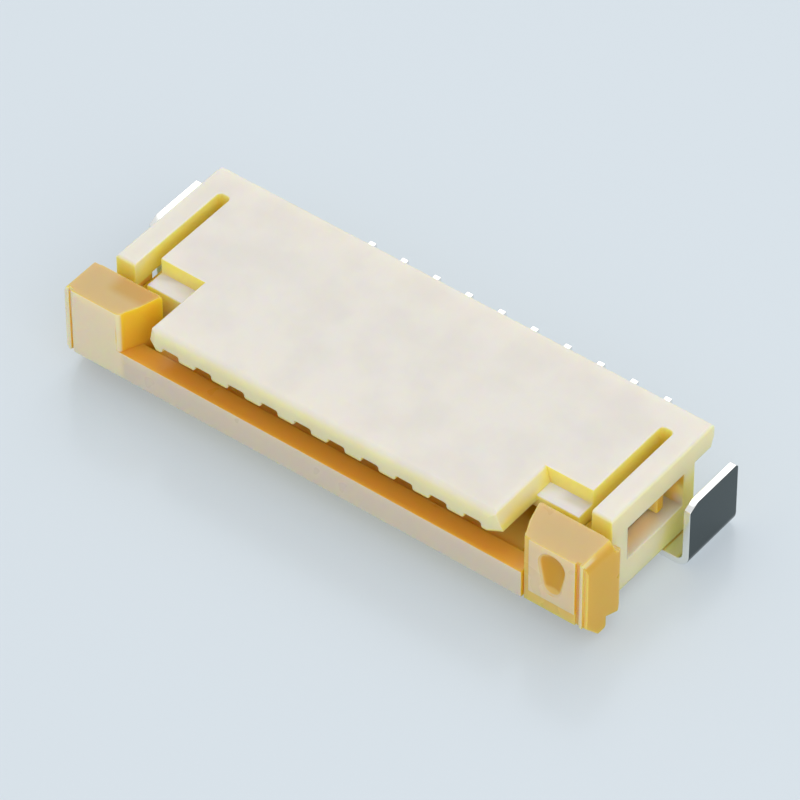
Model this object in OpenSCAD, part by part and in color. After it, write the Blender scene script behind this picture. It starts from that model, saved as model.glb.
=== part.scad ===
// Slider-type flat-cable connector: right angle, surface mount.
// X runs along the row of contacts, the cable enters from -Y, and the board is the plane z = 0.

/* [Contacts] */
// Number of contacts
circuits = 10; // [4:1:16]
// Distance from one contact to the next
pitch = 1; // [0.9:0.05:1.25]
// Thickness of the strip that the contacts are stamped from
contact_t = 0.2; // [0.12:0.02:0.28]
// Height of the springing upper beam
beam_h = 0.2; // [0.14:0.02:0.22]
// Distance that the tails reach past the rear edge of the housing
tail_reach = 2.3; // [1.8:0.1:2.8]
// Length of the soldered foot of each tail
foot_len = 1.5; // [0.8:0.1:1.7]
// Height of the tail strip
tail_h = 0.2; // [0.14:0.02:0.24]

/* [Housing] */
// Height of the housing's top face above the board
top_z = 2.83; // [2.7:0.05:3.2]
// Height of the housing's underside above the board
standoff = 0.24; // [0.2:0.01:0.3]
// Distance from the last contact to the housing's side
end_margin = 2.9; // [2.8:0.05:3.4]
// Depth of the two end rails, from the rear edge to their front ends
rail_reach = 4.05; // [3.9:0.05:4.2]
// Distance that the lip's front edge lies behind the slider's front face
lip_setback = 0.05; // [0:0.01:0.3]
// Thickness of the lip and of the wall over the contacts
roof_t = 0.6; // [0.5:0.05:0.65]
// Distance from the last contact to the lip's side
lip_margin = 0.62; // [0.5:0.02:0.7]
// Outward lean of the lip's sides, from their top to their bottom
lip_lean = 0.15; // [0:0.05:0.2]
// Radius along the lip's front edge
lip_round = 0.26; // [0.1:0.02:0.4]
// Radius along the housing's other top edges
edge_round = 0.1; // [0.04:0.02:0.16]
// Width of the notch over each contact, in the lip's front edge
notch_w = 0.5; // [0.3:0.05:0.6]
// Height of those notches
notch_h = 0.16; // [0.1:0.02:0.3]
// Depth of the ledge at the front of each rail
ledge_depth = 0.55; // [0.3:0.05:0.7]
// Drop from the top face to the ledge
ledge_drop = 0.46; // [0.2:0.02:0.5]
// Thickness of the floor under the cable
floor_t = 0.62; // [0.5:0.02:0.7]
// Distance that the top overhangs the rear wall
overhang = 0.76; // [0.5:0.02:0.9]
// Thickness of that overhang
overhang_t = 0.68; // [0.5:0.02:0.75]

/* [Latch] */
// Distance from the last contact to the slot that the latch arm runs in
slot_margin = 1.95; // [1.9:0.01:2.05]
// Width of that slot
slot_w = 0.35; // [0.3:0.01:0.4]
// Depth from the rear edge to the slot's closed end
slot_end = 0.8; // [0.7:0.05:1]
// Distance that the slider pulls out
travel = 1.5; // [1.2:0.05:1.6]
// Length of the post in front of the side window, which the hook catches on
post_depth = 0.65; // [0.4:0.05:0.7]
// Height of the side window
window_h = 1.04; // [0.9:0.02:1.1]
// Height of the rail left over the side window
window_roof = 0.73; // [0.6:0.01:0.8]
// Length of the hook on the latch arm
hook_len = 0.5; // [0.4:0.05:0.6]
// Distance that the hook stands out into the side window
hook_out = 0.36; // [0.2:0.02:0.42]
// Running gap on each side of the latch arm
arm_gap = 0.05; // [0.03:0.01:0.08]

/* [Slider] */
// Gap between the end blocks and the housing's rails, pushed in
block_gap = 0.39; // [0.1:0.01:0.5]
// Depth of the slider's end blocks, front to back
block_depth = 1.18; // [1:0.02:1.24]
// Height of the slider's underside above the board
slider_lift = 0.71; // [0.65:0.02:0.75]
// Height of the front bar
bar_h = 0.84; // [0.8:0.01:0.88]
// Depth of the front bar, front to back
bar_depth = 0.6; // [0.5:0.05:0.66]
// Distance from the last contact to the end block, at its front
mouth_margin = 1.47; // [1.3:0.01:1.5]
// Inward lean of the block's guide wall, front to back
guide_lean = 0.35; // [0.2:0.01:0.4]
// Distance from the last contact to the outer end of the front face
face_margin = 3; // [2.95:0.01:3.05]
// Width of the groove, the ridge and the flange's edge beyond the front face
face_step = 0.1; // [0.06:0.01:0.14]
// Drop from the housing's top to the slider's top
slider_drop = 0.05; // [0.02:0.01:0.1]
// Thickness of the tongue under the cable
tongue_t = 0.4; // [0.3:0.02:0.44]
// Depth from the rear edge to the tongue's tip
tongue_tip = 2.05; // [1.9:0.05:2.4]

/* [Solder tabs] */
// Thickness of the tab's sheet
tab_t = 0.2; // [0.14:0.01:0.22]
// Distance from the housing's side to the outer face of the upright plate
tab_out = 0.73; // [0.6:0.01:0.9]
// Height of the upright plate above the board
tab_h = 2; // [1.6:0.05:2.2]
// Depth from the rear edge to the front of the tab
tab_front = 1.95; // [1.8:0.05:2.1]
// Length of the tab, front to back
tab_len = 1.92; // [1.7:0.02:2]
// Outer radius of the bend
tab_bend = 0.38; // [0.3:0.02:0.45]

/* [Hidden] */
$fn = 48;
eps = 0.01;          // how far a cutter runs past the face that it opens

function contact_name(i) = str("contact_", i < 10 ? "0" : "", i);
function contact_x(i) = (i - 1) * pitch - row_half;

// Places along X, from the middle of the contact row
row_half = (circuits - 1) * pitch / 2;
side_x = row_half + end_margin;
lip_x = row_half + lip_margin;
slot_x = [row_half + slot_margin, row_half + slot_margin + slot_w];
cable_x = row_half + pitch;                 // half the width of the flat cable
cable_play = 0.05;                          // beside each edge of the cable
cavity_x = cable_x + cable_play;
tongue_play = 0.08;                         // beside each edge of the tongue
tongue_x = cavity_x - tongue_play;
mouth_x = row_half + mouth_margin;
face_x = row_half + face_margin;
flange_x = face_x + 3 * face_step;

// Places along Y, with the origin in the middle of the outline
slider_reach = rail_reach + block_gap + block_depth;
rear_y = (slider_reach - tail_reach) / 2;   // rear edge of the housing's top
wall_y = rear_y - overhang;                 // rear wall under the overhang
rear_wall = 0.8;                            // thickness of that wall, up to the cable's end
stop_y = wall_y - rear_wall;
rail_y = rear_y - rail_reach;
step_y = rail_y + ledge_depth;
slider_y = rear_y - slider_reach;
lip_y = slider_y + lip_setback;
block_y = slider_y + block_depth;           // back of the slider's end blocks
bar_y = slider_y + bar_depth;               // back of the slider's front bar
bar_gap = 0.12;                             // between the bar and the housing's floor
floor_y = bar_y + bar_gap;                  // front edge of the housing's floor
hook_gap = 0.05;                            // left at each end of the hook's run
arm_tip = 0.1;                              // straight end of the arm behind the hook
hook_y = rail_y + post_depth + hook_gap + travel;   // front of the hook, pushed in
arm_y = hook_y + hook_len + arm_tip;        // tip of the latch arm
window_y = [rail_y + post_depth, arm_y + hook_gap];

// Heights above the board
lip_z = top_z - roof_t;                     // underside of the lip
throat_drop = 0.25;                         // the cavity's roof lies this far under the lip
throat_z = lip_z - throat_drop;
floor_z = standoff + floor_t;               // floor of the cavity
ledge_z = top_z - ledge_drop;
window_z = [top_z - window_roof - window_h, top_z - window_roof];
slider_z = top_z - slider_drop;             // top of the end blocks
bar_z = slider_lift + bar_h;                // top of the front bar
tongue_gap = 0.12;                          // under the tongue
tongue_z = [floor_z + tongue_gap, floor_z + tongue_gap + tongue_t];

// ---- Shared shapes ----

// A box between a low and a high value on each axis
module span(x, y, z)
    translate([x[0], y[0], z[0]]) cube([x[1] - x[0], y[1] - y[0], z[1] - z[0]]);

// An outline drawn in Y and Z, run along X
module along_x(x, outline)
    translate([x[0], 0, 0]) rotate([90, 0, 90]) linear_extrude(x[1] - x[0]) polygon(outline);

// An outline drawn in X and Z, run along Y
module along_y(y, outline)
    translate([0, y[1], 0]) rotate([90, 0, 0]) linear_extrude(y[1] - y[0]) polygon(outline);

// An outline drawn in X and Y, run up Z
module along_z(z, outline)
    translate([0, 0, z[0]]) linear_extrude(z[1] - z[0]) polygon(outline);

// The same shape at both ends of the connector
module both_ends() {
    children();
    mirror([1, 0, 0]) children();
}

// Points of an arc round a centre
function arc(centre, r, from, to, steps = 6) =
    [for (i = [0 : steps], a = from + (to - from) * i / steps) centre + r * [cos(a), sin(a)]];

// ---- Housing: one ivory moulding ----

// Section through rear wall, roof and rail, seen from the side
rear_bevel = [0.12, 0.3];                   // under the overhang's rear edge
body_outline = concat(
    [[rail_y, standoff], [wall_y, standoff], [wall_y, top_z - overhang_t],
     [rear_y - rear_bevel[0], top_z - overhang_t], [rear_y, top_z - overhang_t + rear_bevel[1]]],
    arc([rear_y - edge_round, top_z - edge_round], edge_round, 0, 90),
    arc([rail_y + edge_round, top_z - edge_round], edge_round, 90, 180));

// The same body seen from the front, with its long top edges rounded
body_front = concat(
    [[-side_x, standoff], [side_x, standoff]],
    arc([side_x - edge_round, top_z - edge_round], edge_round, 0, 90),
    arc([edge_round - side_x, top_z - edge_round], edge_round, 90, 180));

// Lip over the cable: a round front edge, leaning sides and blunted front corners
lip_corner = [0.34, 0.2];
lip_back = step_y + eps;
lip_side = concat(
    [[lip_y, lip_z], [lip_back, lip_z], [lip_back, top_z]],
    arc([lip_y + lip_round, top_z - lip_round], lip_round, 90, 180));
lip_front = concat(
    [[-lip_x - lip_lean, lip_z], [lip_x + lip_lean, lip_z]],
    arc([lip_x - edge_round, top_z - edge_round], edge_round, 10, 90),
    arc([edge_round - lip_x, top_z - edge_round], edge_round, 90, 170));
lip_plan = let (x = lip_x + lip_lean)
    [[-x, lip_back], [-x, lip_y + lip_corner[1]], [-x + lip_corner[0], lip_y],
     [x - lip_corner[0], lip_y], [x, lip_y + lip_corner[1]], [x, lip_back]];

module lip()
    intersection() {
        along_x([-side_x, side_x], lip_side);
        along_y([lip_y, lip_back], lip_front);
        along_z([lip_z, top_z], lip_plan);
    }

// Throat: the cable's way in narrows from the lip's underside to the cavity's roof
throat_y = [rail_y - 0.5, rail_y - 0.1];    // front and back of that ramp
throat_roof = [
    [throat_y[0], lip_z + eps], [rail_y + eps, lip_z + eps], [rail_y + eps, throat_z],
    [throat_y[1], throat_z]];
cavity_outline = [
    [throat_y[0] - eps, floor_z], [stop_y, floor_z], [stop_y, throat_z],
    [throat_y[1], throat_z], [throat_y[0] - eps, lip_z]];

// Front floor, which runs under the cable between the end blocks
module front_floor()
    span([-cavity_x, cavity_x], [floor_y, rail_y + eps], [standoff, floor_z]);

// Room over the ledge, from the middle of the lip's side to the latch slot
module ledge_cut()
    span([lip_x - lip_round, slot_x[0] + eps], [rail_y - eps, step_y], [ledge_z, top_z + eps]);

// Plan of the latch slot, round at its closed end
slot_round = 0.12;
slot_y = [rail_y - eps, rear_y - slot_end];
slot_plan = concat(
    [[slot_x[0], slot_y[0]], [slot_x[1], slot_y[0]]],
    arc([slot_x[1] - slot_round, slot_y[1] - slot_round], slot_round, 0, 90),
    arc([slot_x[0] + slot_round, slot_y[1] - slot_round], slot_round, 90, 180));

// What else is cut away at each end: the latch slot, the side window and the tab's slot
module end_cuts() {
    along_z([floor_z, top_z + eps], slot_plan);
    span([slot_x[1] - eps, side_x + eps], window_y, window_z);
    tab_slot();
}

// Slot that a contact is pushed into from behind, cut in roof, floor and rear wall
contact_play = 0.03;                        // on each side of a contact
slot_depth = 0.25;                          // depth of the slot in floor and roof
web_z = [floor_z - slot_depth, throat_z + slot_depth];
roof_slot_y = lip_y + 0.62;                 // front end of the slot in the roof
floor_slot_y = floor_y + 0.3;               // front end of the slot in the floor

// Notch in the lip over a contact, seen from the front, with round corners
notch_share = 0.4;                          // of its height, that each corner takes
notch_round = notch_h * notch_share;
notch_right = concat(
    [[notch_w / 2 + notch_round, lip_z - eps]],
    arc([notch_w / 2 + notch_round, lip_z + notch_round], notch_round, 270, 180, 4),
    arc([notch_w / 2 - notch_round, lip_z + notch_h - notch_round], notch_round, 0, 90, 4));
notch_outline = concat(
    notch_right,
    [for (i = [len(notch_right) - 1 : -1 : 0]) [-notch_right[i][0], notch_right[i][1]]]);

module contact_slot() {
    x = [-contact_t / 2 - contact_play, contact_t / 2 + contact_play];
    span(x, [roof_slot_y, wall_y + eps], [throat_z - eps, web_z[1]]);
    span(x, [floor_slot_y, wall_y + eps], [web_z[0], floor_z + eps]);
    span(x, [stop_y - eps, wall_y + eps], web_z);
    along_y([lip_y - eps, roof_slot_y + eps], notch_outline);
}

module housing()
    color("ivory")
    difference() {
        union() {
            difference() {
                intersection() {
                    along_x([-side_x, side_x], body_outline);
                    along_y([rail_y, rear_y], body_front);
                }
                both_ends() ledge_cut();
            }
            lip();
            front_floor();
            along_x([-lip_x, lip_x], throat_roof);
        }
        along_x([-cavity_x, cavity_x], cavity_outline);
        both_ends() end_cuts();
        for (i = [1 : circuits]) translate([contact_x(i), 0, 0]) contact_slot();
    }

// ---- Contacts: forks stamped from strip, pushed in from behind ----

// Upper beam, which springs down on the cable, and its bump
beam_play = 0.04;                           // over the beam, to the roof of its slot
beam_z = [web_z[1] - beam_play - beam_h, web_z[1] - beam_play];
nip = 0.26;                                 // left for the cable between bump and tongue
bump_z = tongue_z[1] + nip;
bump_y = rail_y - 0.2;                      // middle of the bump
bump_flat = 0.12;                           // half its flat
bump_front = 0.5;
bump_back = 0.4;

// Lower beam, which lies in the floor of the cavity
lower_h = 0.24;
lower_z = [web_z[0], web_z[0] + lower_h];
lower_bevel = 0.12;

// Web between the beams, held in the rear wall, with a gusset to each beam
web_play = 0.05;                            // before and behind the web
web_y = [stop_y + web_play, wall_y - web_play];
gusset = 0.2;

// Tail: straight out of the rear wall, down to the board, and a flat foot on it
tail_y = rear_y + tail_reach;
tail_slope = 0.75;                          // length of the sloping part
tail_bend = 0.08;                           // how much later the upper side bends
foot_y = tail_y - foot_len;

contact_outline = [
    [web_y[0], web_z[1]], [web_y[0] - beam_play, beam_z[1]], [bump_y - bump_front, beam_z[1]],
    [bump_y - bump_front, beam_z[0]], [bump_y - bump_flat, bump_z], [bump_y + bump_flat, bump_z],
    [bump_y + bump_back, beam_z[0]], [web_y[0] - gusset, beam_z[0]], [web_y[0], beam_z[0] - gusset],
    [web_y[0], lower_z[1] + gusset], [web_y[0] - gusset, lower_z[1]],
    [rail_y + lower_bevel, lower_z[1]], [rail_y, lower_z[1] - lower_bevel], [rail_y, lower_z[0]],
    [foot_y - tail_slope, lower_z[0]], [foot_y, 0], [tail_y, 0],
    [tail_y, tail_h], [foot_y + tail_bend, tail_h],
    [foot_y - tail_slope + tail_bend, lower_z[0] + tail_h], [web_y[1], lower_z[0] + tail_h],
    [web_y[1], web_z[1]]];

module contact(i)
    color("silver")
    translate([contact_x(i), 0, 0]) along_x([-contact_t / 2, contact_t / 2], contact_outline);

// ---- Solder tabs: bent sheet, one at each end ----

tab_x = side_x + tab_out;                   // outer face of the upright plate
tab_y = [rear_y - tab_front, rear_y - tab_front + tab_len];
tab_corner = [0.3, 0.15];                   // blunted front corner of the plate
tab_nick = 0.08;                            // blunted rear corner

// Barb that stands up from the foot's inner edge, pressed into the housing's side wall
barb_wall = 0.15;                           // left between the barb and the latch slot
barb_x = [slot_x[1] + barb_wall, slot_x[1] + barb_wall + tab_t];
barb_y = [tab_y[0] + 0.15, wall_y - 0.2];
barb_roof = 0.12;                           // left between its slot and the side window
barb_play = 0.04;                           // over the barb
barb_z = window_z[0] - barb_roof - barb_play;

// Slot in the underside of the side wall, which the barb is pressed into
module tab_slot()
    span(barb_x, barb_y, [standoff - eps, barb_z + barb_play]);

// Foot, bend and upright plate, seen from the front
tab_outline = concat(
    [[barb_x[0], tab_t], [barb_x[0], 0]],
    arc([tab_x - tab_bend, tab_bend], tab_bend, -90, 0),
    [[tab_x, tab_h], [tab_x - tab_t, tab_h]],
    arc([tab_x - tab_bend, tab_bend], tab_bend - tab_t, 0, -90));

// The plate's outline, seen from the side
tab_side = [
    [tab_y[0], 0], [tab_y[1], 0], [tab_y[1], tab_h - tab_nick], [tab_y[1] - tab_nick, tab_h],
    [tab_y[0] + tab_corner[0], tab_h], [tab_y[0], tab_h - tab_corner[1]]];

module solder_tab()
    color("gainsboro") {
        intersection() {
            along_y(tab_y, tab_outline);
            along_x([0, tab_x + eps], tab_side);
        }
        span(barb_x, barb_y, [tab_t - eps, barb_z]);
    }

// ---- Slider: one translucent amber moulding ----

// Plan of an end block: straight front and back, and a guide wall that opens to the cable
mouth_round = 0.18;                         // round front corner of the guide wall
guide_bend = [0.15, 0.5];                   // end of its first, steeper part
block_plan = concat(
    arc([mouth_x + mouth_round, slider_y + mouth_round], mouth_round, 270, 180),
    [[mouth_x - guide_bend[0], slider_y + guide_bend[1]],
     [mouth_x - guide_lean, block_y], [face_x, block_y], [face_x, slider_y]]);

// The block seen from the side, with its lower front and upper back edges blunted
toe = 0.03;
crown = 0.06;
block_side = [
    [slider_y, slider_lift + toe], [slider_y + toe, slider_lift], [block_y, slider_lift],
    [block_y, slider_z - crown], [block_y - crown, slider_z], [slider_y, slider_z]];

module end_block()
    intersection() {
        along_z([0, top_z], block_plan);
        along_x([0, flange_x], block_side);
    }

// Outer flange seen from the side: a leg near the board, a round heel and a lower back
flange_in = 0.1;                            // how far the flange lies behind the front face
flange_y = slider_y + flange_in;
flange_back = block_y + 0.33;
leg_z = 0.18;                               // underside of the leg
leg_y = [flange_y + 0.47, flange_y + 0.77]; // front and back of the leg
leg_round = 0.08;
heel_z = 0.3;
heel_round = 0.16;
leg_h = 0.34;                               // from the leg's underside up to the heel
shoulder = [0.56, 0.36];                    // how far the flange's back lies below its top
flange_outline = concat(
    [[flange_y, slider_z], [flange_y, slider_lift], [leg_y[0], leg_z]],
    arc([leg_y[1] - leg_round, leg_z + leg_round], leg_round, 270, 360),
    [[leg_y[1], leg_z + leg_h]],
    arc([flange_back - heel_round, heel_z + heel_round], heel_round, 280, 360),
    [[flange_back, slider_z - shoulder[0]], [block_y, slider_z - shoulder[1]],
     [block_y - crown, slider_z]]);

// Plan of the flange, with its back outer corner blunted
heel_corner = [0.1, 0.2];
flange_plan = [
    [0, flange_y], [flange_x, flange_y], [flange_x, flange_back - heel_corner[1]],
    [flange_x - heel_corner[0], flange_back], [0, flange_back]];

// The flange seen from the front: its top slopes down to its outer side
flange_slope = [0.14, 0.28];                // width and drop of that slope
flange_front = [
    [0, 0], [flange_x, 0], [flange_x, slider_z - flange_slope[1]],
    [flange_x - flange_slope[0], slider_z], [0, slider_z]];

// A ridge beside the front face, with a groove between them, and the flange behind it
ridge_in = 0.03;                            // how far the ridge lies behind the front face
ridge_x = [face_x + face_step, face_x + 2 * face_step];

module flange()
    intersection() {
        union() {
            span(ridge_x, [slider_y + ridge_in, block_y - crown], [slider_lift, slider_z]);
            intersection() {
                along_x([face_x, flange_x], flange_outline);
                along_z([0, top_z], flange_plan);
            }
        }
        along_y([slider_y, flange_back], flange_front);
    }

// Latch arm with its hook, which slides in the side window
arm_play = 0.08;                            // over and under the arm
hook_flat = 0.25;                           // flat tip of the hook, before its slope
arm_x = [slot_x[0] + arm_gap, slot_x[1] - arm_gap];
arm_z = [window_z[0] + arm_play, window_z[1] - arm_play];

module latch_arm() {
    span(arm_x, [block_y - eps, arm_y], arm_z);
    along_z(arm_z, [
        [arm_x[1] - eps, hook_y], [arm_x[1] + hook_out, hook_y],
        [arm_x[1] + hook_out, hook_y + hook_flat], [arm_x[1] - eps, hook_y + hook_len]]);
}

// Bar between the end blocks, seen from the side
bar_outline = [
    [slider_y, slider_lift + toe], [slider_y + toe, slider_lift], [bar_y, slider_lift],
    [bar_y, bar_z], [slider_y, bar_z]];

// Tongue behind the bar, seen from the side: it thins to its tip under the cable
tongue_root = 0.12;                         // ramp from the bar's top down to the tongue
tongue_taper = 0.8;
tip_h = 0.1;
tip_y = rear_y - tongue_tip;
tongue_outline = [
    [bar_y - eps, tongue_z[0]], [tip_y, tongue_z[0]], [tip_y, tongue_z[0] + tip_h],
    [tip_y - tongue_taper, tongue_z[1]], [bar_y + tongue_root, tongue_z[1]],
    [bar_y - eps, bar_z - toe]];

// Shallow oval hollow in the right block's front, wider at its top
hollow_x = (mouth_x + face_x) / 2 + 0.1;
hollow_r = [0.42, 0.5];                     // radii of its lower and upper ends
hollow_z = [slider_lift + 0.89, slider_z - 0.55];
hollow_out = 0.3;                           // how far the centres lie before the face

module face_hollow()
    hull()
        for (i = [0, 1])
            translate([hollow_x, slider_y - hollow_out, hollow_z[i]]) sphere(hollow_r[i], $fn = 32);

// Rebate along the inner and lower edges of the same face
rebate = [0.2, 0.05, 0.38];                 // its width, its depth and its height

module face_rebate() {
    y = [slider_y - eps, slider_y + rebate[1]];
    span([mouth_x - guide_bend[0], mouth_x + rebate[0]], y, [slider_lift - eps, slider_z + eps]);
    span([mouth_x, face_x], y, [slider_lift - eps, slider_lift + rebate[2]]);
}

module slider()
    color("goldenrod", 0.8)
    union() {
        difference() {
            both_ends() {
                end_block();
                flange();
                latch_arm();
            }
            face_hollow();
            face_rebate();
        }
        along_x([-mouth_x - mouth_round, mouth_x], bar_outline);
        along_x([-tongue_x, tongue_x], tongue_outline);
    }

housing();
slider();
for (i = [1 : circuits]) contact(i);
mirror([1, 0, 0]) solder_tab();  // solder_tab_left
solder_tab();  // solder_tab_right
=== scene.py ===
# A slider-type connector for a flat cable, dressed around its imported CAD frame.
# Everything is in metres, in the frame of the part: +X along the contacts, the cable enters from -Y,
# and the board is the plane z = 0. MM turns a size in millimetres into metres.
from math import cos, radians, sin

import bmesh
import bpy
from mathutils import Matrix, Vector


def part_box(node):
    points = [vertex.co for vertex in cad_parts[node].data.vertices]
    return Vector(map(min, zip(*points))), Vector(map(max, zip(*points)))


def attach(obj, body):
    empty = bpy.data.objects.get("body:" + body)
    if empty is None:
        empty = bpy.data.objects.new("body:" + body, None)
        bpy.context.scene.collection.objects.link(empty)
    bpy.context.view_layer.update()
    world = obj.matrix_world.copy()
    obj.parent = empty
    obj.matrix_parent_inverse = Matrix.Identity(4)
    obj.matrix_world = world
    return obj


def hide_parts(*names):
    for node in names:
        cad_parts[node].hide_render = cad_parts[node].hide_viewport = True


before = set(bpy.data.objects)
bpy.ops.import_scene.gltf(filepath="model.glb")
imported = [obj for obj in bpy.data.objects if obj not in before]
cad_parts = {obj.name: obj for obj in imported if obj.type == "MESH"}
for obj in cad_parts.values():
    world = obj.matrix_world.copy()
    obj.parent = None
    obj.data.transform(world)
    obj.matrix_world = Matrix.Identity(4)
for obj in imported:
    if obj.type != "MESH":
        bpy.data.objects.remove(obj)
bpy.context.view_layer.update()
scene = bpy.context.scene

# ---- Camera ----
# A long lens at a working distance of 150 mm, to the right of the cable's side and looking down
# at about 44 degrees, aimed a little in front of the middle of the housing.
MM = 0.001
TURN = radians(37.892)
TILT = radians(44.31)
ROLL = radians(-0.252)
AIM = Vector((-0.073, -0.711, 1.0)) * MM
DISTANCE = 150.36 * MM
SENSOR = 36.0
FOCAL = 283.79
NEAREST = 10 * MM
FARTHEST = 3.0

back = Vector((sin(TURN) * cos(TILT), -cos(TURN) * cos(TILT), sin(TILT)))
right = Vector((cos(TURN), sin(TURN), 0.0))
up = back.cross(right)
camera_data = bpy.data.cameras.new("camera")
camera_data.lens = FOCAL
camera_data.sensor_width = SENSOR
camera_data.clip_start = NEAREST
camera_data.clip_end = FARTHEST
camera = bpy.data.objects.new("camera", camera_data)
columns = (right * cos(ROLL) + up * sin(ROLL), up * cos(ROLL) - right * sin(ROLL), back)
camera.matrix_world = Matrix.Translation(AIM + back * DISTANCE) @ Matrix(columns).transposed().to_4x4()
scene.collection.objects.link(camera)
scene.camera = camera
scene.view_settings.view_transform = "Standard"

# ---- Table and light ----
# A pale blue-grey table top of smooth glass, wide enough for every view, under the plain light of
# a studio tent: an even pale sky, a soft box over the back and another at the right front.
TABLE_HALF = 150 * MM
TABLE_COLOUR = (0.66, 0.73, 0.79)
TABLE_LIT = (0.68, 0.755, 0.805)
TABLE_PALE = 0.4
SKY_COLOUR = (0.985, 0.99, 1.0, 1.0)
SKY_STRENGTH = 0.80
TABLE_ROUGHNESS = 0.2
TABLE_SHEEN = 0.4
BOX_SIDE = 0.12
BACK_BOX = (-0.05, 0.10, 0.15)
BACK_WATTS = 0.055
RIGHT_BOX = (0.13, -0.08, 0.10)
RIGHT_WATTS = 0.06


def material(name, colour, roughness, metallic=0.0):
    """A Principled material; returns it with its node tree and shader."""
    made = bpy.data.materials.new(name)
    made.use_nodes = True
    shader = made.node_tree.nodes["Principled BSDF"]
    shader.inputs["Base Color"].default_value = (*colour, 1.0)
    shader.inputs["Roughness"].default_value = roughness
    shader.inputs["Metallic"].default_value = metallic
    return made, made.node_tree, shader


def node(tree, kind, settings=None, **inputs):
    """A new shader node, with its settings and its input values or links."""
    made = tree.nodes.new(kind)
    for key, value in (settings or {}).items():
        setattr(made, key, value)
    for key, value in inputs.items():
        numbered = key[0] == "i" and key[1:].isdigit()
        socket = made.inputs[int(key[1:]) if numbered else key.replace("_", " ")]
        if isinstance(value, bpy.types.NodeSocket):
            tree.links.new(value, socket)
        else:
            socket.default_value = value
    return made


bm = bmesh.new()
bmesh.ops.create_grid(bm, x_segments=2, y_segments=2, size=TABLE_HALF)
table_mesh = bpy.data.meshes.new("table")
bm.to_mesh(table_mesh)
bm.free()
table = bpy.data.objects.new("table", table_mesh)
scene.collection.objects.link(table)
table_finish, table_tree, table_shader = material("table_glass", TABLE_COLOUR, TABLE_ROUGHNESS)
table_shader.inputs["Specular IOR Level"].default_value = TABLE_SHEEN
pale = node(table_tree, "ShaderNodeEmission", Color=(*TABLE_LIT, 1.0))
rays = node(table_tree, "ShaderNodeLightPath").outputs
seen = node(table_tree, "ShaderNodeMath", {"operation": "MAXIMUM"},
            i0=rays["Is Camera Ray"], i1=rays["Is Glossy Ray"])
shown = node(table_tree, "ShaderNodeMath", {"operation": "MAXIMUM"},
             i0=seen.outputs[0], i1=rays["Is Transmission Ray"])
share = node(table_tree, "ShaderNodeMath", {"operation": "MULTIPLY"}, i0=shown.outputs[0], i1=TABLE_PALE)
table_blend = node(table_tree, "ShaderNodeMixShader", i0=share.outputs[0], i1=table_shader.outputs[0],
                   i2=pale.outputs[0])
table_tree.links.new(table_blend.outputs[0], table_tree.nodes["Material Output"].inputs["Surface"])
table_mesh.materials.append(table_finish)

world = bpy.data.worlds.new("tent")
world.use_nodes = True
world.node_tree.nodes["Background"].inputs["Color"].default_value = SKY_COLOUR
world.node_tree.nodes["Background"].inputs["Strength"].default_value = SKY_STRENGTH
scene.world = world


def soft_box(name, at, watts):
    """A square lamp that faces the middle of the connector."""
    data = bpy.data.lights.new(name, "AREA")
    data.size = BOX_SIDE
    data.energy = watts
    lamp = bpy.data.objects.new(name, data)
    lamp.location = at
    lamp.rotation_euler = (-Vector(at)).to_track_quat("-Z", "Y").to_euler()
    scene.collection.objects.link(lamp)


soft_box("soft_box_back", BACK_BOX, BACK_WATTS)
soft_box("soft_box_right", RIGHT_BOX, RIGHT_WATTS)

# ---- Housing ----
# One ivory moulding of a heat-resistant plastic, a little translucent, so its thin edges and the walls of its
# slots glow yellow, partly by real scattering in the plastic and partly by painted glow and shade in its
# colour, which also paints its upright faces a darker cream and its ledges paler. The contacts and tabs hold
# it down on the board. The mould leaves every edge with a small radius.
HOUSING_RADIUS = 0.035
SHARP = radians(33)
FLAT = radians(0.5)
MERGE = 0.001
IN_LINE = 0.8
ROOM_SHARE = 0.4
IVORY = (0.80, 0.765, 0.70)
# Besides IVORY, the plastic's own colour, the colours below are painted: painted shade on upright faces,
# painted glow and shade in gold, painted light on the ledges.
UPRIGHT_SHADE = (0.84, 0.79, 0.50)
PAINTED_GLOW = (0.98, 0.84, 0.24)
UNDERSIDE_GLOW = (0.90, 0.62, 0.12)
WINDOW_GLOW = (0.98, 0.62, 0.13)
LEDGE_LIGHT = (0.93, 0.90, 0.87)
IVORY_ROUGHNESS = 0.45
GLOW_SCALE = 0.6
SKIN_SCALE = 9.0
SKIN_STRENGTH = 0.5
GLOSS_SCALE = 1.1
GLOSS_SPREAD = 0.05


def room_at(edge, vert):
    """Length of the shortest edge at a vertex that runs across this one."""
    along = (edge.other_vert(vert).co - vert.co).normalized()
    lengths = [1.0]
    for other in vert.link_edges:
        if other is not edge:
            across = (other.other_vert(vert).co - vert.co).normalized()
            if abs(along.dot(across)) < IN_LINE:
                lengths.append(other.calc_length())
    return min(lengths)


def runs_on(edge, other, vert):
    """Whether two edges follow on from each other at a vertex."""
    one = (edge.other_vert(vert).co - vert.co).normalized()
    two = (other.other_vert(vert).co - vert.co).normalized()
    return one.dot(two) < -IN_LINE


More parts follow.
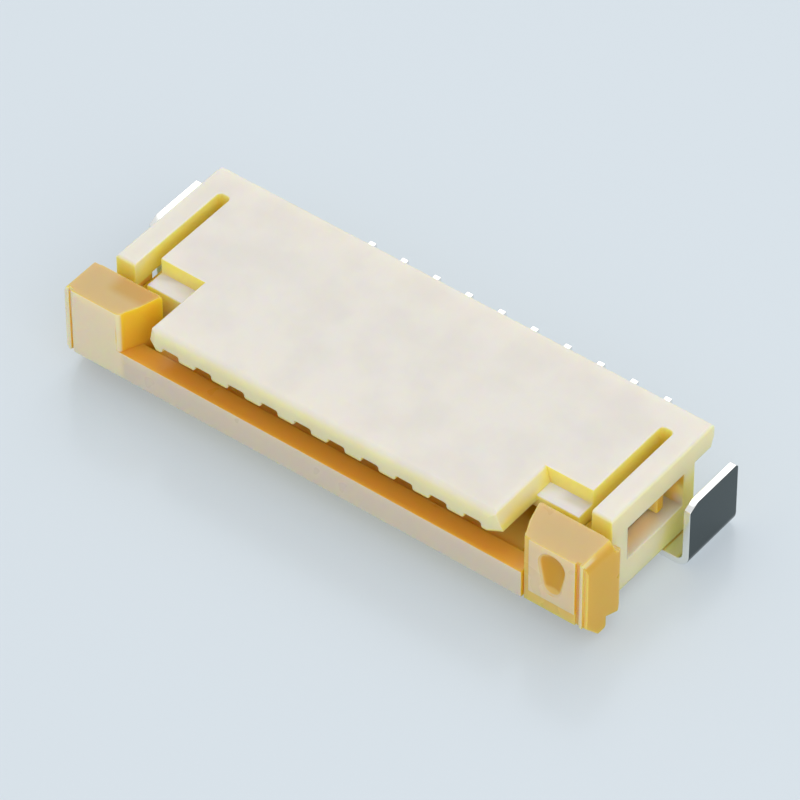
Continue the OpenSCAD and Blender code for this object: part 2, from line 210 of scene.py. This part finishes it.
def moulded(cad_node, name, radius, wide=None, wide_edge=None):
    """A merged copy of a CAD node with its outer edges rounded, worked in millimetres. The edges
    that wide_edge picks get the wide radius, and short steps beside a run of edges keep it small."""
    bm = bmesh.new()
    bm.from_mesh(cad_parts[cad_node].data)
    bmesh.ops.scale(bm, vec=(1 / MM, 1 / MM, 1 / MM), verts=bm.verts)
    bmesh.ops.remove_doubles(bm, verts=bm.verts, dist=MERGE)
    bmesh.ops.dissolve_limit(bm, angle_limit=FLAT, verts=bm.verts, edges=bm.edges)
    weights = bm.edges.layers.float.new("bevel_weight_edge")
    full = wide or radius
    rounded = []
    for edge in bm.edges:
        if edge.calc_face_angle(0) > SHARP:
            if edge.is_convex:
                rounded.append(edge)
                wanted = full if wide and wide_edge(edge) else radius
                room = min(room_at(edge, vert) for vert in edge.verts)
                edge[weights] = min(wanted, ROOM_SHARE * room) / full
            else:
                edge.smooth = False
    settled = False
    while not settled:
        settled = True
        for edge in rounded:
            for vert in edge.verts:
                for other in vert.link_edges:
                    lighter = 0 < other[weights] < edge[weights]
                    if lighter and runs_on(edge, other, vert):
                        edge[weights] = other[weights]
                        settled = False
    for face in bm.faces:
        face.smooth = True
    mesh = bpy.data.meshes.new(name)
    bm.to_mesh(mesh)
    bm.free()
    piece = bpy.data.objects.new(name, mesh)
    scene.collection.objects.link(piece)
    bevel = piece.modifiers.new("mould_radius", "BEVEL")
    bevel.limit_method = "WEIGHT"
    bevel.width = full
    bevel.segments = 2
    bevel.use_clamp_overlap = False
    flat = piece.modifiers.new("flat_faces_stay_flat", "WEIGHTED_NORMAL")
    flat.keep_sharp = True
    triangles = piece.modifiers.new("triangles", "TRIANGULATE")
    triangles.min_vertices = 5
    triangles.keep_custom_normals = True
    depsgraph = bpy.context.evaluated_depsgraph_get()
    finished = bpy.data.meshes.new_from_object(piece.evaluated_get(depsgraph))
    finished.transform(Matrix.Scale(MM, 4))
    piece.modifiers.clear()
    piece.data = finished
    bpy.data.meshes.remove(mesh)
    finished.name = name
    return piece


class Paint:
    """The colour of a moulding, laid on coat by coat. x, y and z are places in millimetres, and
    nx, ny and nz say which way the surface faces."""

    def __init__(self, tree, first):
        self.tree = tree
        self.colour = (*first, 1.0)
        coordinates = tree.nodes.new("ShaderNodeTexCoord")
        self.place = node(tree, "ShaderNodeVectorMath", {"operation": "SCALE"},
                          i0=coordinates.outputs["Object"], Scale=1 / MM).outputs[0]
        places = node(tree, "ShaderNodeSeparateXYZ", i0=self.place)
        facing = node(tree, "ShaderNodeSeparateXYZ", i0=coordinates.outputs["Normal"])
        self.x, self.y, self.z = places.outputs
        self.nx, self.ny, self.nz = facing.outputs
        self.far = self.maths("ABSOLUTE", self.x)
        self.outward = self.maths("MULTIPLY", self.nx, self.maths("SIGN", self.x))

    def maths(self, operation, *values):
        sockets = {f"i{index}": value for index, value in enumerate(values)}
        return node(self.tree, "ShaderNodeMath", {"operation": operation}, **sockets).outputs[0]

    def step(self, value, low, high, most=1.0):
        """0 where the value is before low, most where it is past high, and soft between them."""
        return node(self.tree, "ShaderNodeMapRange", {"interpolation_type": "SMOOTHSTEP"}, Value=value,
                    From_Min=low, From_Max=high, To_Min=0.0, To_Max=most).outputs[0]

    def both(self, *masks):
        joined = masks[0]
        for mask in masks[1:]:
            joined = self.maths("MULTIPLY", joined, mask)
        return joined

    def band(self, value, low, high, soft):
        """1 between low and high, and soft at both ends."""
        rise = self.step(value, low - soft, low + soft)
        return self.both(rise, self.step(value, high + soft, high - soft))

    def noise(self, scale, detail=2.0):
        return node(self.tree, "ShaderNodeTexNoise", Vector=self.place, Scale=scale,
                    Detail=detail).outputs["Fac"]

    def closed(self, reach, low, high):
        """How far the surface is shut in by others within the reach, in millimetres."""
        around = node(self.tree, "ShaderNodeAmbientOcclusion", {"samples": 8}, Distance=reach * MM)
        return self.step(around.outputs["AO"], high, low)

    def coat(self, colour, mask):
        """Lays a colour where the mask is 1."""
        self.colour = node(self.tree, "ShaderNodeMix", {"data_type": "RGBA"}, i0=mask, i6=self.colour,
                           i7=(*colour, 1.0)).outputs[2]

    def shade(self, fraction, mask):
        """Darkens the colour by the fraction where the mask is 1."""
        grey = self.maths("MULTIPLY_ADD", mask, -fraction, 1.0)
        self.colour = node(self.tree, "ShaderNodeVectorMath", {"operation": "SCALE"}, i0=self.colour,
                           Scale=grey).outputs[0]


def glow(shader, radius):
    """Light that goes into the plastic and comes out again close by."""
    shader.inputs["Subsurface Weight"].default_value = 1.0
    shader.inputs["Subsurface Radius"].default_value = radius
    shader.inputs["Subsurface Scale"].default_value = GLOW_SCALE * MM


def grain(paint, shader, height, roughness):
    """The fine skin that the mould leaves, and uneven gloss over it."""
    bump = node(paint.tree, "ShaderNodeBump", Height=paint.noise(SKIN_SCALE, 3.0), Distance=height * MM,
                Strength=SKIN_STRENGTH)
    paint.tree.links.new(bump.outputs[0], shader.inputs["Normal"])
    gloss = node(paint.tree, "ShaderNodeMapRange", {"clamp": False}, Value=paint.noise(GLOSS_SCALE),
                 From_Min=0.2, From_Max=0.8, To_Min=roughness - GLOSS_SPREAD, To_Max=roughness + GLOSS_SPREAD)
    paint.tree.links.new(gloss.outputs[0], shader.inputs["Roughness"])


housing_high = Vector(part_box("housing")[1]) / MM
LIP_Z = housing_high.z - 0.6
RAIL_Y = housing_high.y - 4.05
STEP_Y = housing_high.y - 3.5
LEDGE_X = housing_high.x - 1.3
CHEEK_X = housing_high.x - 0.65
LEDGE_Z = housing_high.z - 0.46
WINDOW_Z = (housing_high.z - 1.77, housing_high.z - 0.73)
housing = moulded("housing", "housing_moulding", HOUSING_RADIUS)
housing_finish, housing_tree, housing_shader = material("ivory_plastic", IVORY, IVORY_ROUGHNESS)
# Painted shade: every face starts as a darker, yellower cream, and the tops then get the ivory.
ivory = Paint(housing_tree, UPRIGHT_SHADE)
ivory.coat(IVORY, ivory.step(ivory.nz, 0.45, 0.97))
# Painted light: the level tops of the ledges are painted paler than the ivory, against the shade of the walls
# round them.
ivory.coat(LEDGE_LIGHT, ivory.both(ivory.step(ivory.nz, 0.9, 0.98),
                                  ivory.band(ivory.z, LEDGE_Z - 0.04, LEDGE_Z + 0.04, 0.02)))
sheer = ivory.step(ivory.nz, 0.9, 0.5)
forward = ivory.step(ivory.ny, -0.5, -0.9)
# Painted glow and shade: upright walls shut in by others within 0.7 mm, such as the slot walls, are painted
# honey gold.
ivory.coat(PAINTED_GLOW, ivory.both(ivory.closed(0.7, 0.5, 0.9), sheer))
# Painted glow: the forward faces at the step, above the lip's lower edge.
ivory.coat(PAINTED_GLOW, ivory.both(forward, ivory.band(ivory.y, STEP_Y - 0.1, STEP_Y + 0.1, 0.03),
                             ivory.step(ivory.z, LIP_Z, LIP_Z + 0.1)))
# Painted glow and shade: the outward faces at the sides of the lip, from its lower edge to just above it.
under_step = ivory.step(ivory.z, LIP_Z + 0.32, LIP_Z + 0.12)
ivory.coat(PAINTED_GLOW, ivory.both(ivory.step(ivory.outward, 0.6, 0.9), under_step,
                             ivory.step(ivory.z, LIP_Z - 0.1, LIP_Z - 0.02),
                             ivory.step(ivory.far, LEDGE_X + 0.1, LEDGE_X - 0.1)))
# Painted glow: the forward faces ahead of the rails, below the lip's lower edge.
ivory.coat(PAINTED_GLOW, ivory.both(forward, ivory.step(ivory.y, RAIL_Y - 0.3, RAIL_Y - 0.5),
                             ivory.step(ivory.z, LIP_Z + 0.09, LIP_Z + 0.05)))
# Painted glow and shade: the faces inside the side windows are painted deep gold.
inside = ivory.both(ivory.step(ivory.far, housing_high.x - 0.03, housing_high.x - 0.4),
                    ivory.step(ivory.far, CHEEK_X, CHEEK_X + 0.05), ivory.band(ivory.z, *WINDOW_Z, 0.03))
ivory.coat(WINDOW_GLOW, inside)
# Painted shade and glow: faces that look down are painted orange gold.
ivory.coat(UNDERSIDE_GLOW, ivory.step(ivory.nz, -0.3, -0.8))
ivory.shade(0.05, ivory.step(ivory.noise(0.8), 0.35, 0.7))
housing_tree.links.new(ivory.colour, housing_shader.inputs["Base Color"])
glow(housing_shader, (1.0, 0.75, 0.25))
grain(ivory, housing_shader, 0.003, IVORY_ROUGHNESS)
housing.data.materials.append(housing_finish)
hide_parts("housing")
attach(housing, "housing")

# ---- Contacts ----
# Ten forks stamped from bronze strip and tin plated, pressed into the seats of the housing from
# behind. Their tails are soldered to the board.
CONTACTS = 10
CONTACT_RADIUS = 0.02
TIN = (0.90, 0.90, 0.88)
TIN_ROUGHNESS = 0.25
contact_finish = material("tin_plate", TIN, TIN_ROUGHNESS, 1.0)[0]
for number in range(1, CONTACTS + 1):
    name = f"contact_{number:02d}"
    contact = moulded(name, f"{name}_plated", CONTACT_RADIUS)
    contact.data.materials.append(contact_finish)
    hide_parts(name)
    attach(contact, "housing")

# ---- Solder tabs ----
# Bent brass sheet with a bright tin plate, pressed into the ends of the housing and soldered to the
# board. The rolled outer flat sides carry a painted reflection, dark as the room they mirror, and the cut
# edges keep the bright tin.
TAB_RADIUS = 0.025
TAB_ROUGHNESS = 0.2
TAB_EDGE = (0.91, 0.92, 0.90)
TAB_DARK_REFLECTION = (0.050, 0.068, 0.069)
tab_finish, tab_tree, tab_shader = material("tab_plate", TAB_EDGE, TAB_ROUGHNESS, 1.0)
plate = Paint(tab_tree, TAB_EDGE)
# Painted reflection: the outer flat faces are painted dark for the dark room they mirror.
plate.coat(TAB_DARK_REFLECTION, plate.step(plate.outward, 0.6, 0.9))
tab_tree.links.new(plate.colour, tab_shader.inputs["Base Color"])
for side in ("left", "right"):
    tab = moulded(f"solder_tab_{side}", f"solder_tab_{side}_plated", TAB_RADIUS)
    tab.data.materials.append(tab_finish)
    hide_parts(f"solder_tab_{side}")
    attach(tab, "housing")

# ---- Slider ----
# One translucent amber moulding. Its colour is painted by how light falls: painted light makes its front
# faces pale, and painted shade and glow make its sides, walls, hollows and shut-in places deep gold, with a
# painted highlight at the outer top edges near the front. Hooks on its two arms hold it in the slots of the
# housing, and it slides in and out. The end blocks have rounder edges at their top than elsewhere.
SLIDER_RADIUS = 0.03
BLOCK_RADIUS = 0.08
AMBER_ROUGHNESS = 0.3
AMBER_SHEEN = 0.35
BLOCK_TOP = (0.63, 0.46, 0.20)
# The tops keep the amber's own tan; the colours below paint shade and glow in gold, light on the front faces,
# and a highlight on the slopes.
TOP_PATCH_SHADE = (0.58, 0.35, 0.08)
TOP_RIM_GLOW = (0.80, 0.56, 0.14)
LOW_TOP_SHADE = (0.80, 0.41, 0.06)
BLOCK_FACE_LIT = (0.80, 0.65, 0.41)
LEFT_FACE_LIT = (0.86, 0.75, 0.52)
BAR_FACE_LIT = (0.73, 0.64, 0.51)
SIDE_SHADE = (0.72, 0.43, 0.03)
GUIDE_GLOW = (0.93, 0.60, 0.045)
DEEP_SHADE = (0.86, 0.50, 0.04)
RECESS_SHADE = (0.83, 0.58, 0.15)
HOLLOW_SHADE = (0.74, 0.40, 0.03)
TONGUE_SHADE = (0.94, 0.58, 0.13)
SLOPE_HIGHLIGHT = (0.80, 0.68, 0.38)
slider_low, slider_high = (Vector(corner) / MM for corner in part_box("slider"))
FACE_Y = slider_low.y
FACE_END = slider_high.x - 0.3
GUIDE_X = slider_high.x - 1.83
RIDGE_X = slider_high.x - 0.2
PATCH_X = 0.8 - slider_high.x
HOLLOW_X = (slider_high.x - 1.6, slider_high.x - 0.5)
HOLLOW_Z = (slider_high.z - 1.28, slider_high.z - 0.38)
BAR_TOP = slider_high.z - 1.23


def block_edge(edge):
    """Edges round the top of an end block, between its guide wall and its flange."""
    return all(vert.co.z > slider_high.z - 0.09 and abs(vert.co.x) < FACE_END - 0.01 for vert in edge.verts)


slider = moulded("slider", "slider_moulding", SLIDER_RADIUS, BLOCK_RADIUS, block_edge)
slider_finish, slider_tree, slider_shader = material("amber_plastic", SIDE_SHADE, AMBER_ROUGHNESS)
# Painted shade: every face starts in the deep gold of the shaded sides, and the coats below go over it.
amber = Paint(slider_tree, SIDE_SHADE)
left_end = amber.step(amber.x, 0.0, -1.0)
right_end = amber.step(amber.x, 0.0, 1.0)
guide = amber.both(amber.step(amber.outward, -0.15, -0.6),
                   amber.step(amber.far, FACE_END - 0.1, FACE_END - 0.3))
high = amber.step(amber.z, BAR_TOP + 0.15, BAR_TOP + 0.4)
front = amber.step(amber.ny, -0.5, -0.95)
# Painted glow: the inward guide walls of the end blocks are painted bright gold.
amber.coat(GUIDE_GLOW, guide)
# Painted shade: the guide walls deeper down, below the tops of the blocks.
amber.coat(DEEP_SHADE, amber.both(guide, amber.step(amber.z, slider_high.z - 0.18, BAR_TOP - 0.05)))
# Painted light: front faces are painted paler, the end blocks' fronts more, and the left block's front most.
amber.coat(BAR_FACE_LIT, front)
block = amber.both(front, amber.step(amber.far, GUIDE_X - 0.1, GUIDE_X + 0.1))
amber.coat(BLOCK_FACE_LIT, block)
amber.coat(LEFT_FACE_LIT, amber.both(block, left_end))
# Painted light: the front faces of the left block's flange steps.
amber.coat(LEFT_FACE_LIT, amber.both(left_end, amber.step(amber.far, FACE_END - 0.02, FACE_END + 0.02),
                                 amber.step(amber.y, FACE_Y + 0.4, FACE_Y + 0.3),
                                 amber.step(amber.outward, 0.6, 0.3)))
# Painted shade: faces just behind the right block's front, and faces near it that face only partly forward,
# are painted gold.
amber.coat(RECESS_SHADE, amber.both(front, amber.step(amber.y, FACE_Y + 0.035, FACE_Y + 0.05), right_end))
amber.coat(RECESS_SHADE, amber.both(amber.step(amber.ny, 0.0, -0.4),
                              amber.step(amber.y, FACE_Y + 0.035, FACE_Y + 0.08),
                              amber.step(amber.x, GUIDE_X - 0.97, GUIDE_X - 0.47),
                              amber.step(amber.z, slider_high.z - 0.08, slider_high.z - 0.18)))
# Painted shade and glow: tops below the blocks, the bar and the tongue under the lip, are painted orange, and
# a lighter gold farther back.
amber.coat(LOW_TOP_SHADE, amber.step(amber.nz, 0.5, 0.9))
amber.coat(TONGUE_SHADE, amber.both(amber.step(amber.nz, 0.5, 0.9),
                              amber.step(amber.y, FACE_Y + 0.6, FACE_Y + 0.9)))
# Painted glow: the rounded top edges of the end blocks are painted gold.
amber.coat(TOP_RIM_GLOW, amber.both(amber.step(amber.nz, 0.15, 0.5), high))
block_top = amber.both(amber.step(amber.nz, 0.6, 0.98), high)
amber.coat(BLOCK_TOP, block_top)
# Painted shade: a darker gold patch on the left block's top, near its inner rear corner.
amber.coat(TOP_PATCH_SHADE, amber.both(block_top, left_end, amber.step(amber.x, PATCH_X, PATCH_X + 0.4),
                                 amber.step(amber.y, FACE_Y + 0.45, FACE_Y + 0.75)))
# Painted highlight: the sloping faces at the outer top edges of the end blocks, near the front, are painted
# pale.
amber.coat(SLOPE_HIGHLIGHT, amber.both(amber.band(amber.nz, 0.3, 0.6, 0.05), high,
                             amber.step(amber.far, RIDGE_X, RIDGE_X + 0.05),
                             amber.step(amber.y, FACE_Y + 0.6, FACE_Y + 0.3)))
# Painted shade: the faces in the hollow on the right block's front are painted deep gold.
amber.coat(HOLLOW_SHADE, amber.both(right_end, amber.band(amber.far, *HOLLOW_X, 0.03),
                              amber.band(amber.y, FACE_Y + 0.06, FACE_Y + 0.6, 0.02),
                              amber.band(amber.z, *HOLLOW_Z, 0.05)))
# Painted shade: places shut in by others within 0.8 mm, other than front faces, are painted deep gold.
amber.coat(DEEP_SHADE, amber.both(amber.closed(0.8, 0.35, 0.7), amber.step(amber.ny, -0.9, -0.5)))
slider_tree.links.new(amber.colour, slider_shader.inputs["Base Color"])
slider_shader.inputs["Specular IOR Level"].default_value = AMBER_SHEEN
glow(slider_shader, (1.0, 0.6, 0.12))
grain(amber, slider_shader, 0.002, AMBER_ROUGHNESS)
slider.data.materials.append(slider_finish)
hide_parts("slider")
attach(slider, "slider")
